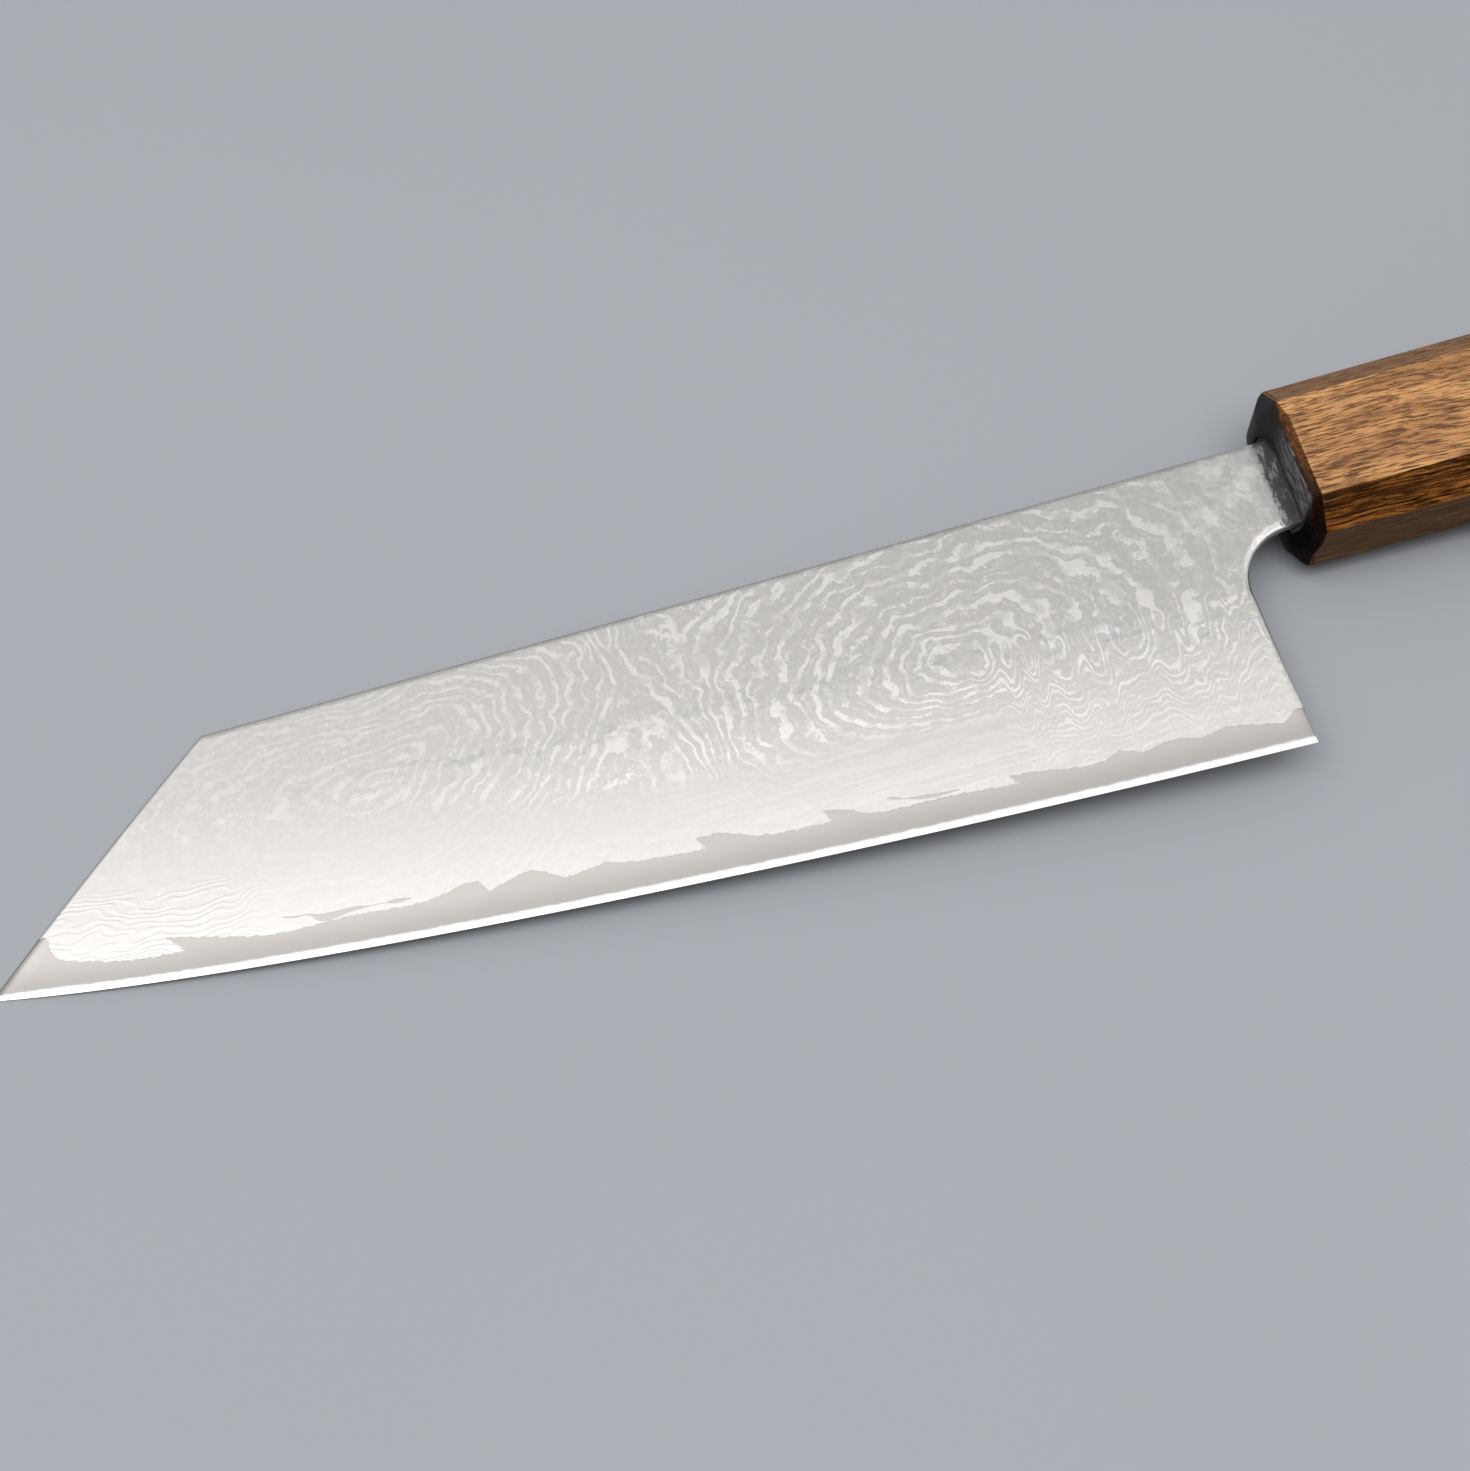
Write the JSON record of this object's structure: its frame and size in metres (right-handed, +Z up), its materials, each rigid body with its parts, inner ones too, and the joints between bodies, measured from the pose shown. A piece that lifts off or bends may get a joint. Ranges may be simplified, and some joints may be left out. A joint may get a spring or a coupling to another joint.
{
  "type": "bunka knife",
  "caption": "Japanese kitchen knife with a clipped point, patterned clad blade with a wavy core line, and an octagonal oak handle on a hidden tang.",
  "frame": {"origin": "bottom centre of the box around the knife as it lies on its right face, on the surface it rests on", "axes": "+X runs from the tip to the butt, +Y from the cutting edge to the spine, +Z up out of the blade's left face"},
  "size_m": [0.3238, 0.0516, 0.0254],
  "materials": {
    "core_steel": "matte ground core steel with a bright cutting bevel",
    "cladding": "etched and polished layered steel",
    "oak": "oiled brown oak with open pores",
    "resin": "cured resin",
    "filler": "smeared black filler"
  },
  "bodies": {
    "root": {"core_steel": "core_steel", "cladding_left": "cladding", "cladding_right": "cladding", "handle_body": "oak", "tang_bedding": "resin", "mouth_seal": "filler"}
  },
  "joints": []
}
